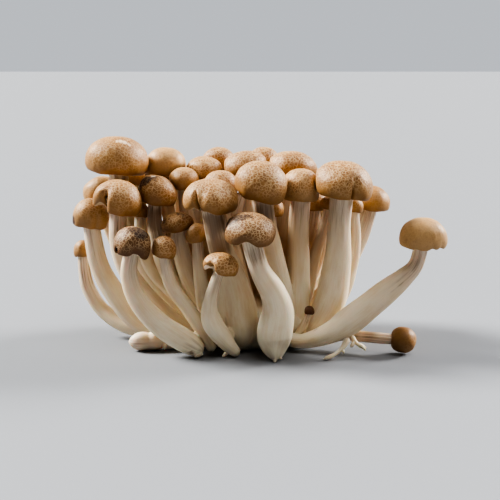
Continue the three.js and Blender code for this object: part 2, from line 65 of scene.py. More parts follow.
# rim is the middle of a cap's rim, wide and tall are its size, axis is the way that its crown
# points, neck is the stem's radius under it, and stem is the stem's way from its foot as x, y, z
# and radius. cleft is a split: its bearing and half width in degrees, and its depth. root joins a
# foot in front to the base. All are in millimetres.
MUSHROOMS = [
    # The left side
    dict(rim=(-53.4, 4, 67.9), wide=25, tall=14.3, axis=(0.12, -0.05, 1), neck=3.7,
         stem=[(-22, 0, 7, 3.6), (-40, 4, 26, 4), (-50.5, 5.5, 50, 3.8)]),
    dict(rim=(-34.5, 13, 65.2), wide=17.5, tall=11.8, axis=(0.05, 0.1, 1), neck=2.8,
         stem=[(-16, 7, 8, 3), (-28, 11, 30, 3), (-33.5, 13, 52, 2.8)]),
    dict(rim=(-60, 14, 55.8), wide=15, tall=9.5, axis=(-0.2, 0.1, 1), neck=2.4,
         stem=[(-24, 8, 6, 2.8), (-45, 12, 22, 2.8), (-57, 13.5, 42, 2.5)]),
    dict(rim=(-52, -10, 54), wide=19.2, tall=12.2, axis=(0.24, -0.05, 1), neck=3.1,
         stem=[(-17, -8, 6, 3.8), (-27, -10, 7.5, 4), (-42, -12, 22, 4), (-50.5, -12, 38, 3.5)],
         cleft=(234, 14, 0.22)),
    dict(rim=(-64.2, 2, 46.6), wide=14, tall=11, axis=(0.15, -0.1, 1), neck=3.2,
         stem=[(-20, -3, 6, 3), (-32, -3, 5, 3.1), (-45, -1, 7.5, 3.6), (-55, 1, 20, 4.2),
               (-61, 2, 32, 3.8)]),
    dict(rim=(-37.9, -3, 56.8), wide=16.8, tall=10.6, axis=(0.2, -0.1, 1), neck=2.6,
         stem=[(-14, -6, 8, 3.6), (-31, -6, 27, 3.6), (-37, -4.5, 45, 3)], cleft=(165, 24, 0.2)),
    dict(rim=(-68, 10, 33), wide=7.6, tall=6.5, axis=(-0.1, 0, 1), neck=2.2,
         stem=[(-20, 0, 6, 2.8), (-34, 0, 4.5, 2.8), (-49, 3, 4.8, 3), (-60, 8, 10.5, 3),
               (-66, 10, 19, 2.9), (-67.8, 10, 27, 2.5)]),
    dict(rim=(-45.2, -24, 39.5), wide=14.8, tall=10.5, axis=(0.25, -0.15, 1), neck=2.7,
         stem=[(-17.8, -29.5, 2.6, 2.6), (-24, -27.5, 5.8, 4.4), (-34.5, -25, 12, 4.5),
               (-42.5, -24.5, 21, 3.8), (-46, -24, 31, 3.2)], cleft=(285, 22, 0.18),
         root=[(-23, -26.5, 5.2, 2.8), (-12, -10, 6.5, 4.5)]),
    dict(rim=(-33.6, -22, 38.7), wide=10.2, tall=7.5, axis=(0.28, -0.12, 1), neck=2,
         stem=[(-14, -25.5, 1.8, 1.8), (-17.6, -23, 8.6, 2.9), (-24, -22, 18, 2.7),
               (-30.5, -22, 27.5, 2.4)],
         root=[(-17.5, -22.5, 8, 2.4), (-9, -9, 8, 3.5)]),
    dict(rim=(-27.8, -10, 46.5), wide=13.2, tall=7, axis=(-0.12, -0.05, 1), neck=3,
         stem=[(-12, -8, 8, 3.8), (-22, -9, 24, 4), (-27, -9.5, 38, 3.4)]),
    dict(rim=(-44, 0, 50.6), wide=7.2, tall=6.2, axis=(0.1, 0, 1), neck=2.1,
         stem=[(-18, 0, 8, 3.4), (-36, 1, 26, 3.8), (-43, 0, 40, 2.7)]),

    # The middle
    dict(rim=(-26, 3, 62), wide=13, tall=8, axis=(-0.15, -0.1, 1), neck=2.6,
         stem=[(-10, 2, 10, 3.2), (-20, 3, 30, 3.4), (-25, 3, 50, 2.9)]),
    dict(rim=(-18.4, 11, 63.7), wide=17, tall=10, axis=(0, 0, 1), neck=2.9,
         stem=[(-8, 8, 10, 3.4), (-15, 10, 35, 3.6), (-18, 11, 52, 3.1)]),
    dict(rim=(-13, 24, 66), wide=15, tall=10.5, axis=(0, 0.1, 1), neck=2.8,
         stem=[(-5, 14, 10, 3.4), (-10, 20, 35, 3.6), (-12.5, 23.5, 55, 3.1)]),
    dict(rim=(-14.9, -22, 56.3), wide=21.4, tall=11.4, axis=(0.06, -0.14, 1), neck=4.1,
         stem=[(-3, -21, 2, 5.4), (-4.5, -17.5, 12, 7.8), (-7, -17.5, 27, 6.2),
               (-11.8, -19.8, 43, 4.6)],
         cleft=(249, 12, 0.2)),
    dict(rim=(-11.5, -4, 59.8), wide=14, tall=9.5, axis=(0, 0.05, 1), neck=2.6,
         stem=[(3, -14, 4, 2.8), (0.5, -14, 12, 3.6), (-3, -13, 24, 3.5), (-6.5, -10, 38, 3.1),
               (-10, -6, 50, 2.7)]),
    dict(rim=(-1.6, 10, 66.3), wide=19, tall=9.5, axis=(-0.1, 0, 1), neck=3.1,
         stem=[(0, 5, 10, 3.6), (-1, 8, 35, 3.6), (-1.5, 10, 54, 3.2)]),
    dict(rim=(5.5, 26, 66.8), wide=13.5, tall=9.5, axis=(0.1, 0.1, 1), neck=2.6,
         stem=[(2, 16, 10, 3.2), (4, 22, 35, 3.2), (5, 25.5, 55, 2.8)]),
    dict(rim=(3.1, -15, 61), wide=20.3, tall=13.2, axis=(0.28, -0.28, 1), neck=4,
         stem=[(11, -13, 3, 3.8), (13, -13.5, 11, 4.8), (12, -13.5, 24, 4.5),
               (8.5, -14, 40, 4.1), (5.8, -14, 52, 3.9)]),
    dict(rim=(-20.3, -14.5, 43), wide=8.6, tall=6.8, axis=(-0.1, -0.1, 1), neck=2.1,
         stem=[(-12, -13, 6, 2.4), (-17, -13.5, 14.5, 3), (-18.8, -14, 25, 2.9),
               (-19.8, -14.5, 34, 2.4)]),
    dict(rim=(-0.4, -33, 45.8), wide=19.3, tall=10.3, axis=(0.02, -0.2, 1), neck=3.5,
         stem=[(9.8, -35.6, 0.8, 1.8), (9.3, -32.5, 5.5, 5.6), (9.3, -31.5, 10.5, 6.8),
               (10.5, -31, 18.5, 6.3), (8.5, -31.5, 26, 5.2), (3.5, -32.5, 35, 3.9)],
         cleft=(150, 16, 0.18),
         root=[(9.5, -31, 9, 4.2), (7, -9, 9, 5.5)]),
    dict(rim=(-11.2, -32, 33.6), wide=13, tall=7.6, axis=(0.12, -0.1, 1), neck=1.9,
         stem=[(-4.2, -29, 1.2, 1.6), (-8.5, -29, 5.5, 3), (-14, -30.5, 13.5, 3.9),
               (-15.2, -31, 20, 3), (-13.8, -31.5, 27, 2.4)], cleft=(232, 18, 0.25),
         root=[(-10, -29, 8, 2.6), (-5, -10, 9, 4)]),

    # The right side
    dict(rim=(16.5, 10, 66), wide=20, tall=9.8, axis=(0.05, 0, 1), neck=3.2,
         stem=[(8, 6, 10, 3.8), (14, 9, 35, 3.8), (17, 10, 54, 3.4)]),
    dict(rim=(19.9, -8, 58.7), wide=15.7, tall=11.8, axis=(0, -0.12, 1), neck=3.8,
         stem=[(15, -9, 4, 4), (18.3, -9, 14, 5), (19, -8.5, 30, 4.7), (19, -8, 46, 4.1)]),
    dict(rim=(35.3, -13, 60.7), wide=22.9, tall=13, axis=(0.12, -0.1, 1), neck=4.3,
         stem=[(13, -8, 6, 4.2), (20, -12, 5.5, 4.4), (26.5, -13, 10, 5.6),
               (31.6, -13.5, 20, 6.1), (34.2, -13.5, 36, 5.2),
               (34.6, -13, 50, 4.6)], cleft=(289, 8, 0.12)),
    dict(rim=(49.2, 12, 52), wide=15.5, tall=9.5, axis=(0.1, 0, 1), neck=3,
         stem=[(18, 5, 7, 3.4), (34, 8, 22, 3.6), (44, 11, 38, 3.4)]),
    dict(rim=(41, -0.5, 52.6), wide=8, tall=5.8, axis=(0.1, 0, 1), neck=2,
         stem=[(15, -2, 6, 3), (34, -1, 16, 3.2), (40, 0, 30, 3), (42, 0, 42, 2.3)]),
    dict(rim=(26.5, 4, 52.6), wide=10, tall=7, axis=(0, 0, 1), neck=2.2,
         stem=[(12, 0, 9, 2.8), (21, 3, 26, 3), (25, 4, 42, 2.5)]),
    dict(rim=(31, -2.5, 54), wide=7.6, tall=5, axis=(0.1, 0, 1), neck=1.7,
         stem=[(15, -5, 6, 2.2), (22, -4.5, 18, 2.5), (25.5, -4, 34, 2.4), (29, -3.5, 46, 2)]),
    dict(rim=(22.8, -20, 15.5), wide=4, tall=2.9, axis=(0.1, -0.2, 1), neck=1.1,
         stem=[(12, -11, 6, 2.4), (17.4, -17.5, 4.6, 2.1), (20.6, -19.2, 10, 1.6)]),
    dict(rim=(66.1, -18, 41.3), wide=18.6, tall=11.3, axis=(0.06, -0.05, 1), neck=2.8,
         stem=[(11, -10, 6, 3), (17, -20, 4.6, 2.6), (23, -23, 5.6, 3), (31, -25, 9, 4.3),
               (38, -24, 13.2, 5.4), (51.5, -20, 23.2, 4.9), (59, -18.5, 29, 3.8),
               (64, -18, 34.5, 3)]),
    dict(rim=(54.4, -22.5, 5.6), wide=10.3, tall=9.6, axis=(1, -0.12, 0), neck=2,
         stem=[(12, -7, 6, 2.6), (24, -11, 5.6, 2.4), (36, -15.5, 5.8, 2.3), (47, -20.5, 6, 2.2)]),
    dict(rim=(8, -1, 51), wide=11, tall=7.5, axis=(0, 0, 1), neck=2.5,
         stem=[(6, 0, 9, 3.4), (8, -1, 24, 3.6), (8, -1, 40, 3)]),
    dict(rim=(29.5, 11, 44.5), wide=9.5, tall=7, axis=(0.1, 0, 1), neck=2.3,
         stem=[(12, 5, 8, 3), (23, 9, 22, 3.2), (28.5, 11, 35, 2.7)]),

    # The back
    dict(rim=(-47, 25, 60), wide=16, tall=10, axis=(-0.1, 0.1, 1), neck=3.1,
         stem=[(-18, 12, 8, 3.6), (-36, 20, 28, 3.8), (-45, 24.5, 46, 3.4)]),
    dict(rim=(-30, 31, 58.5), wide=17, tall=10.5, axis=(-0.05, 0.1, 1), neck=3.4,
         stem=[(-11, 13, 8, 4), (-22, 23, 28, 4.2), (-29, 30, 46, 3.7)]),
    dict(rim=(-57, 30, 43), wide=12, tall=8, axis=(-0.2, 0.2, 1), neck=2.7,
         stem=[(-16, 9, 6, 3.4), (-40, 21.5, 17, 3.5), (-54, 29, 33, 2.9)]),
    dict(rim=(-12, 41, 58), wide=17, tall=10.5, axis=(0, 0.15, 1), neck=3.4,
         stem=[(-5, 17, 8, 4), (-9, 31, 26, 4.2), (-12, 40, 46, 3.7)]),
    dict(rim=(7, 42, 61), wide=16, tall=10, axis=(0.05, 0.1, 1), neck=3.3,
         stem=[(4, 17, 8, 4), (6, 32, 28, 4.1), (7, 41, 48, 3.6)]),
    dict(rim=(22, 28, 59.5), wide=16.5, tall=10, axis=(0.1, 0.1, 1), neck=3.3,
         stem=[(8, 12, 9, 3.8), (16, 21, 30, 3.9), (21, 27, 48, 3.5)]),
    dict(rim=(36, 20, 59), wide=14, tall=9.5, axis=(0.1, 0.1, 1), neck=3,
         stem=[(13, 9, 8, 3.6), (27, 16, 28, 3.7), (34, 19.5, 46, 3.2)]),
    dict(rim=(24, 43, 49), wide=14, tall=9, axis=(0.1, 0.2, 1), neck=3,
         stem=[(7, 12, 7, 3.6), (17, 31, 19, 3.8), (23, 42, 36, 3.3)]),
    dict(rim=(40, 33, 44), wide=13, tall=8.5, axis=(0.15, 0.15, 1), neck=2.8,
         stem=[(12, 10, 6, 3.6), (29, 25, 18, 3.6), (38, 32, 33, 3)]),
    dict(rim=(-30, 45, 47), wide=14, tall=9, axis=(-0.1, 0.2, 1), neck=3,
         stem=[(-9, 12, 6, 3.6), (-21, 33, 17, 3.7), (-29, 44, 34, 3.2)]),
    dict(rim=(-44, 39, 33), wide=11, tall=8, axis=(-0.2, 0.25, 1), neck=2.6,
         stem=[(-12, 10, 6, 3.4), (-31, 29, 10, 3.5), (-42, 38, 22, 2.9)]),
    dict(rim=(0, 51, 39), wide=12, tall=8, axis=(0, 0.25, 1), neck=2.7,
         stem=[(0, 14, 6, 3.4), (0, 37, 11, 3.6), (0, 49, 27, 3)]),
]

# A blunt stub at the left and torn root threads, with no cap
STUBS = [
    [(-16, -6, 6, 3.4), (-28, -14, 4.2, 3.3), (-32.5, -15.6, 4, 3.7), (-34.4, -16.1, 3.9, 3.3),
     (-37.4, -16.7, 3.8, 3.8), (-39.4, -17, 3.7, 3.4), (-42, -17.3, 3.8, 3.7),
     (-44.6, -17.7, 3.7, 3.1), (-47.2, -18, 3.6, 1.4)],
    [(-33.2, -19.2, 0.9, 0.7), (-33, -18.6, 3, 1), (-31, -17, 5, 1.4)],
    [(27.6, -33.4, 0.7, 0.35), (30, -32.6, 1.3, 0.8), (32.6, -31.4, 2.4, 0.7), (35.4, -29.6, 4.6, 1),
     (37.5, -27, 7.6, 1.6)],
    [(44.4, -27.6, 3.4, 0.4), (42.4, -27.8, 4.4, 0.9), (40.6, -27.6, 5.4, 0.7),
     (38, -25.8, 8.4, 1.6)],
]

# Young stems in the middle that lean on the ones beside them, with no cap of their own
INNER_STEMS = [
    [(6, 4, 9, 3), (11, 6, 30, 3.6), (12.6, 8, 48, 3.4), (15, 9.5, 60, 2.6)],
    [(-9, 4, 9, 3), (-18, 6, 32, 3.6), (-21.8, 6.5, 48, 3.4), (-20, 9, 58, 2.8)],
    [(-3, 4, 9, 3), (-6, 6, 32, 3.8), (-6.6, 7, 48, 3.6), (-3.5, 9, 59, 3)],
    [(-16, 6, 8, 3), (-33, 10, 32, 3.6), (-40, 11, 49, 3.2), (-36, 12.5, 58, 2.6)],
]

# Fine torn root threads at the feet in front
TUFTS = [
    [(9.4, -34.6, 1.4, 1), (9.3, -35.9, 0.7, 0.7), (8.9, -36.6, 0.4, 0.3)],
    [(10.6, -34.6, 2, 0.7), (11.6, -35.6, 1.5, 0.45), (12.1, -35.9, 1.3, 0.2)],
    [(-8.5, -28.6, 2.4, 1), (-9.9, -29.8, 1.1, 0.6), (-10.4, -30.2, 0.6, 0.25)],
    [(-18.2, -28.8, 2.4, 1.4), (-20, -30.4, 1.4, 0.9), (-21, -30.9, 0.8, 0.4)],
    [(31.2, -32, 1.7, 0.7), (29.4, -31, 0.9, 0.5), (28.2, -30.6, 0.6, 0.25)],
    [(34.6, -30, 4, 0.7), (35.4, -30.8, 2.9, 0.5), (35.3, -31.2, 2.1, 0.2)],
    [(39.8, -27.2, 6, 0.8), (38.8, -28.4, 4.8, 0.7), (38.4, -28.9, 4, 0.3)],
    [(42, -27.8, 4.6, 0.7), (43.4, -28.8, 3.6, 0.5), (44, -29.4, 3, 0.2)],
]

# Where the stems are browner, partly brown stains and partly painted shade at the necks under the
# caps and on the low stem at the right, under its neighbour: the middle of each, its reach and how
# strong it is
STAINS_AND_SHADE = [
    (60.5, -22, 31, 2.6, 0.25), (57.4, -23, 27.6, 2.6, 0.3), (54, -24, 24.4, 2.6, 0.2),
    (63.5, -20, 34, 5, 0.35),
    # The first two here are partly stain, partly painted shade under the stem above.
    (40, -16, 6, 7, 0.8), (47, -20, 6, 6, 0.6), (21, -21, 5.5, 4, 0.7), (26, -24, 9.2, 3, 0.6),
    (17, -17, 6, 3, 0.7), (22.5, -20, 12, 2.4, 0.5), (30, -18.5, 8.5, 4, 0.4),
    (-9.5, -24.5, 13, 4, 0.5), (-9, -33.4, 25, 2.6, 0.3), (-22.3, -31.6, 2.6, 1.4, 1),
    # The next two lines are painted shade at the necks under the caps.
    (-14, -25.8, 50, 9, 1), (-12, -24, 42, 9, 0.9), (2.5, -35, 41, 7, 0.6),
    (-37, -7, 50, 9, 0.85), (-36, -8, 42, 8, 0.6), (5.5, -18, 54, 8, 0.8), (-50.5, -15, 45, 6, 0.5),
    (-22, -30, 4, 7, 0.35), (-66, 8, 24, 8, 0.3),
]


def smooth_way(points, place):
    """The centre and radius at a place, from 0 to the last point, along a smooth way."""
    last = len(points) - 1
    k = min(int(place), last - 1)
    t = place - k
    before = points[k - 1] if k > 0 else [2 * a - b for a, b in zip(points[0], points[1])]
    after = points[k + 2] if k + 2 <= last else [2 * a - b for a, b in zip(points[-1], points[-2])]
    found = []
    for p0, p1, p2, p3 in zip(before, points[k], points[k + 1], after):
        slope = 0.5 * (p2 - p0)
        next_slope = 0.5 * (p3 - p1)
        rise = p2 - p1
        found.append(p1 + t * (slope + t * (3 * rise - 2 * slope - next_slope
                                            + t * (slope + next_slope - 2 * rise))))
    return Vector(found[:3]), found[3]


def stem_rings(points, end_axis):
    """Rings along a stem, a step apart: centre, two directions across, radius, length so far."""
    last = len(points) - 1
    span = sum((Vector(a[:3]) - Vector(b[:3])).length for a, b in zip(points, points[1:]))
    count = max(8, round(span / STEM_STEP))
    rings = []
    length = 0
    for k in range(count + 1):
        place = last * k / count
        centre, radius = smooth_way(points, place)
        ahead, _ = smooth_way(points, min(place + 0.02, last))
        behind, _ = smooth_way(points, max(place - 0.02, 0))
        along = (ahead - behind).normalized()
        if end_axis and place > last - 0.3:
            along = along.lerp(end_axis, (place - last + 0.3) / 0.3).normalized()
        across = Vector((0, 1, 0)).cross(along).normalized()
        third = across.cross(along)
        if rings:
            length += (centre - rings[-1][0]).length
        rings.append((centre, across, third, radius, length))
    return rings


def new_piece(mesh, name):
    """A shown object of a finished mesh, at the origin."""
    bmesh.ops.recalc_face_normals(mesh, faces=mesh.faces)
    data = bpy.data.meshes.new(name)
    mesh.to_mesh(data)
    mesh.free()
    piece = bpy.data.objects.new(name, data)
    bpy.context.scene.collection.objects.link(piece)
    return piece


def grow_stem(points, seed, end_axis=None):
    """One stem as a piece: a drum drawn out along its way, ridged lengthwise, its ends round."""
    rings = stem_rings(points, end_axis)
    steps = len(rings) - 1
    total = rings[-1][4]
    mesh = bmesh.new()
    bmesh.ops.create_cone(mesh, cap_ends=True, segments=STEM_SIDES, radius1=1, radius2=1, depth=1)
    uprights = [edge for edge in mesh.edges if abs(edge.verts[0].co.z - edge.verts[1].co.z) > 0.5]
    bmesh.ops.subdivide_edges(mesh, edges=uprights, cuts=steps - 1)
    offset = Vector((seed * 17.3, seed * 5.1, seed * 9.7))
    place_of = {}
    for vert in mesh.verts:
        centre, across, third, radius, length = rings[round((vert.co.z + 0.5) * steps)]
        bearing = math.atan2(vert.co.y, vert.co.x)
        around = Vector((math.cos(bearing), math.sin(bearing), 0))
        ridges = noise.noise(around * 1.6 + Vector((0, 0, length / 28)) + offset)
        flutes = noise.noise(around * 4.5 + Vector((0, 0, length / 22)) + offset)
        swell = noise.noise(Vector((0, 0, length / 9)) + offset)
        radius *= 1 + RIDGES * ridges + FLUTES * flutes + SWELL * swell
        from_foot = min(1, length / (END_ROUNDING * radius) + 0.02)
        radius *= math.sqrt(1 - (1 - from_foot) ** 2)
        if end_axis is None:
            from_tip = min(1, (total - length) / (END_ROUNDING * radius) + 0.02)
            radius *= math.sqrt(1 - (1 - from_tip) ** 2)
        point = centre + (across * math.cos(bearing) - third * math.sin(bearing)) * radius
        point.z = max(point.z, LOWEST)
        place_of[vert] = (bearing, length)
        vert.co = point * MM
    round_map = mesh.loops.layers.uv.new("grain_round")
    along_map = mesh.loops.layers.uv.new("grain_along")
    for face in mesh.faces:
        face.smooth = True
        for loop in face.loops:
            bearing, length = place_of[loop.vert]
            loop[round_map].uv = (math.cos(bearing), math.sin(bearing))
            loop[along_map].uv = (length / 100, seed + min(0.98, length / max(total, 1)))
    return new_piece(mesh, f"stem_{seed:02d}")


def smooth(value, low, high):
    """0 below low and 1 above high, with a smooth rise between."""
    share = min(1, max(0, (value - low) / (high - low)))
    return share * share * (3 - 2 * share)


def mark_stems(data):
    """Marks the stems' stains and painted neck shade, and how deep in the cluster each place is."""
    stain_and_shade = data.attributes.new("stain_and_shade", "FLOAT", "POINT")
    inner_shade = data.attributes.new("inner_shade", "FLOAT", "POINT")
    stain_and_shade_values = []
    inner_shade_values = []
    for vert in data.vertices:
        x, y, z = vert.co / MM
        share = 0
        for east, north, height, reach, strength in STAINS_AND_SHADE:
            far = math.hypot(x - east, y - north, z - height)
            if far < reach:
                share = max(share, strength * (1 - smooth(far, 0.3 * reach, reach)))
        stain_and_shade_values.append(share)
        # How deep in the cluster a place is, for painted shade that is warmer and darker inside.
        out = math.hypot(x / (28 + 0.5 * z), (y - 5) / (20 + 0.45 * z))
        inner_shade_values.append(1 - smooth(out, 0.45, 0.85))
    stain_and_shade.data.foreach_set("value", stain_and_shade_values)
    inner_shade.data.foreach_set("value", inner_shade_values)


def stem_top(mushroom):
    """The way a cap's crown points, and its stem's last point just under its ceiling."""
    axis = Vector(mushroom["axis"]).normalized()
    top = Vector(mushroom["rim"]) + axis * (CEILING * mushroom["tall"] - CLEARANCE)
    return axis, (top.x, top.y, top.z, mushroom["neck"])


def grow_base():
    """The lumpy base: a spun outline, flat underneath, with knobs all round."""
    outline = [(0, 0), (0.86, 0), (0.97, 0.06), (1.02, 0.16), (1.06, 0.3), (1.08, 0.42),
               (1.02, 0.58), (0.92, 0.72), (0.75, 0.86), (0.55, 0.95), (0.3, 0.99), (0, 1)]
    mesh = bmesh.new()
    verts = [mesh.verts.new((radius, 0, height)) for radius, height in outline]
    edges = [mesh.edges.new(pair) for pair in zip(verts, verts[1:])]
    bmesh.ops.spin(mesh, geom=verts + edges, cent=(0, 0, 0), axis=(0, 0, 1),
                   angle=2 * math.pi, steps=96, use_merge=True)
    bmesh.ops.remove_doubles(mesh, verts=mesh.verts, dist=1e-5)
    round_map = mesh.loops.layers.uv.new("grain_round")
    along_map = mesh.loops.layers.uv.new("grain_along")
    for face in mesh.faces:
        face.smooth = True
        for loop in face.loops:
            loop[round_map].uv = (loop.vert.co.x, loop.vert.co.y)
            loop[along_map].uv = (loop.vert.co.z / 8, 0.02)
    for vert in mesh.verts:
        x, y, z = vert.co
        bearing = math.atan2(y, x)
        knobs = 1 + 0.05 * math.sin(7 * bearing + 1) + 0.04 * math.sin(11 * bearing + 2.5 + 3 * z)
        knobs += 0.05 * noise.noise(Vector((6 * x, 6 * y, 5 * z))) * min(1, 6 * z)
        wide = x * knobs * BASE_HALF_WIDTH
        deep = y * knobs * BASE_HALF_DEPTH
        vert.co = Vector((wide, deep, z * BASE_HEIGHT)) * MM
    return new_piece(mesh, "stems")


def grow_together(body, limbs):
    """Fuses the limbs with the body into one closed skin, and takes the loose limbs away."""
    group = bpy.data.collections.new("limbs")
    bpy.context.scene.collection.children.link(group)
    for limb in limbs:
        bpy.context.scene.collection.objects.unlink(limb)
        group.objects.link(limb)
    fuse = body.modifiers.new("fuse", "BOOLEAN")
    fuse.operation = "UNION"
    fuse.solver = "MANIFOLD"
    fuse.operand_type = "COLLECTION"
    fuse.collection = group
    view = bpy.context.evaluated_depsgraph_get()
    fused = bpy.data.meshes.new_from_object(body.evaluated_get(view))
    body.modifiers.remove(fuse)
    fused.materials.clear()
    body.data = fused
    for limb in limbs:
        bpy.data.objects.remove(limb)
    bpy.data.collections.remove(group)


limbs = []
for number, mushroom in enumerate(MUSHROOMS, start=1):
    axis, top = stem_top(mushroom)
    limbs.append(grow_stem(mushroom["stem"] + [top], number, axis))
    if "root" in mushroom:
        limbs.append(grow_stem(mushroom["root"], 60 + number))
for number, stub in enumerate(STUBS + INNER_STEMS + TUFTS, start=1):
    limbs.append(grow_stem(stub, 80 + number))
stems = grow_base()
grow_together(stems, limbs)
mark_stems(stems.data)
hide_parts("stems_and_base")
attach(stems, "root")


class Shade:
    """A number, colour or vector that changes over a surface. Python's signs add Math nodes."""

    def __init__(self, finish, socket):
        self.finish = finish
        self.socket = socket

    def __add__(self, other):
        return self.finish.math("ADD", self, other)

    def __sub__(self, other):
        return self.finish.math("SUBTRACT", self, other)

    def __rsub__(self, other):
        return self.finish.math("SUBTRACT", other, self)

    def __mul__(self, other):
        return self.finish.math("MULTIPLY", self, other)

    __radd__ = __add__
    __rmul__ = __mul__


class Finish:
    """A material under construction, with its Principled shader."""

    def __init__(self, name):
        self.material = bpy.data.materials.new(name)
        self.material.use_nodes = True
        self.tree = self.material.node_tree
        self.shader = self.tree.nodes["Principled BSDF"]

    def node(self, kind, settings, inputs, output=0):
        """Any node: its type, its settings, which are set first, and the values of its sockets."""
        made = self.tree.nodes.new(kind)
        for name, value in settings.items():
            setattr(made, name, value)
        for name, value in inputs.items():
            self.feed(made.inputs[name], value)
        return Shade(self, made.outputs[output])

    def feed(self, socket, value):
        if isinstance(value, Shade):
            self.tree.links.new(value.socket, socket)
        else:
            socket.default_value = value

    def surface(self, **inputs):
        for name, value in inputs.items():
            self.feed(self.shader.inputs[name.replace("_", " ")], value)

    def place(self):
        return self.node("ShaderNodeTexCoord", {}, {}, output="Object")

    def attribute(self, name):
        return self.node("ShaderNodeAttribute", {"attribute_name": name}, {}, output="Fac")

    def noise(self, vector, scale, detail=3, roughness=0.5, output="Fac"):
        sizes = {"Vector": vector, "Scale": scale, "Detail": detail, "Roughness": roughness}
        return self.node("ShaderNodeTexNoise", {}, sizes, output)

    def cells(self, vector, scale, feature, output):
        sizes = {"Vector": vector, "Scale": scale}
        return self.node("ShaderNodeTexVoronoi", {"feature": feature}, sizes, output)

    def math(self, operation, first, second):
        return self.node("ShaderNodeMath", {"operation": operation}, {0: first, 1: second})

    def vector_math(self, operation, inputs):
        return self.node("ShaderNodeVectorMath", {"operation": operation}, inputs)

    def parts(self, vector):
        """The first two parts of a vector."""
        first = self.node("ShaderNodeSeparateXYZ", {}, {"Vector": vector})
        return first, Shade(self, first.socket.node.outputs["Y"])

    def together(self, x, y, z):
        return self.node("ShaderNodeCombineXYZ", {}, {"X": x, "Y": y, "Z": z})

    def mix(self, factor, first, second):
        """From the first colour to the second. A Mix node has its colours at sockets 6, 7 and 2."""
        settings = {"data_type": "RGBA", "clamp_factor": True}
        return self.node("ShaderNodeMix", settings, {0: factor, 6: first, 7: second}, output=2)

    def step(self, value, low, high):
        """0 at low and 1 at high, with a smooth rise between, and the two may be the other way."""
        settings = {"interpolation_type": "SMOOTHSTEP"}
        ends = {"Value": value, "From Min": low, "From Max": high}
        return self.node("ShaderNodeMapRange", settings, ends)


def stem_flesh():
    """Ivory flesh with fine fibres that run up the stem, warmer and streaked towards the cap. The
    browner neck is partly its own colour and partly painted shade under the caps, and the stems are
    darker deeper in the cluster as painted shade.

    grain_round holds the place round a stem, and grain_along its length so far, and the number of
    the stem with the share of its length."""
    finish = Finish("stem_flesh")
    around = finish.node("ShaderNodeUVMap", {"uv_map": "grain_round"}, {})
    lengthwise = finish.node("ShaderNodeUVMap", {"uv_map": "grain_along"}, {})
    length, number_and_share = finish.parts(lengthwise)
    upward = finish.node("ShaderNodeMath", {"operation": "FRACT"}, {0: number_and_share})
    stem_number = number_and_share - upward
    round_x, round_y = finish.parts(around)
    fibre_place = finish.together(round_x + stem_number * 3.1, round_y, length * 1.1)
    body_place = finish.together(round_x + stem_number * 1.7, round_y, length * 8)
    fibres = finish.noise(fibre_place, 9, detail=6, roughness=0.65)
    streaks = finish.noise(fibre_place, 3.2, detail=3)
    patches = finish.noise(body_place, 1.1, detail=3)
    pores = finish.noise(finish.place(), 1400, detail=2)
    stain_and_shade = finish.attribute("stain_and_shade")
    inner_shade = finish.attribute("inner_shade")
    neck = finish.step(upward + (streaks - 0.5) * 0.3, 0.62, 0.98)
    cream = finish.mix(finish.step(patches, 0.35, 0.68), (0.84, 0.73, 0.54, 1), (0.76, 0.62, 0.42, 1))
    cream = finish.mix(finish.step(fibres, 0.42, 0.6) * 0.3, cream, (0.92, 0.85, 0.7, 1))
    # Browner towards the cap: partly the stem's own colour, partly painted shade under the caps.
    cream = finish.mix(finish.step(upward, 0.3, 0.9) * 0.4, cream, (0.6, 0.43, 0.26, 1))
    # Painted shade: warmer and darker deeper in the cluster.
    cream = finish.mix(inner_shade * 0.65, cream, (0.55, 0.34, 0.17, 1))
    # At the neck: its own brown-grey fibre streaks, darker as painted shade under the caps.
    grain = finish.step(streaks * 0.5 + fibres * 0.5, 0.44, 0.6)
    cream = finish.mix(neck * grain * 0.7, cream, (0.4, 0.29, 0.2, 1))
    cream = finish.mix(neck * (1 - grain) * 0.35, cream, (0.88, 0.84, 0.8, 1))
    # Greyer in patches towards the foot.
    grey_near_foot = finish.step(upward, 0.22, 0.0) * finish.step(patches + fibres * 0.3, 0.4, 0.8)
    cream = finish.mix(grey_near_foot * 0.45, cream, (0.5, 0.45, 0.34, 1))
    # Brown stains, and painted shade at the necks under the caps.
    worn_and_shaded = finish.step(stain_and_shade + (streaks - 0.5) * 1.2 + (fibres - 0.5) * 0.8, 0.2, 0.9)
    worn_and_shaded = worn_and_shaded * finish.step(stain_and_shade, 0.0, 0.3)
    cream = finish.mix(worn_and_shaded * 0.78, cream, (0.2, 0.125, 0.075, 1))
    height = fibres * 0.7 + pores * 0.3
    bump = finish.node("ShaderNodeBump", {}, {"Strength": 0.5, "Distance": 0.0004, "Height": height})
    finish.surface(Base_Color=cream, Roughness=0.4 + 0.25 * fibres, Normal=bump)
    finish.surface(Subsurface_Weight=0.25, Subsurface_Radius=(1.0, 0.5, 0.2), Subsurface_Scale=0.006)
    finish.surface(IOR=1.4)
    return finish.material


stems.data.materials.append(stem_flesh())


# The caps
# Each is a domed cushion of flesh under a brown skin, netted with fine pale lines over the crown,
# with its rim rolled in and thin cream gills underneath. Each has grown on the tip of its own stem,
# and neighbours press each other flat.

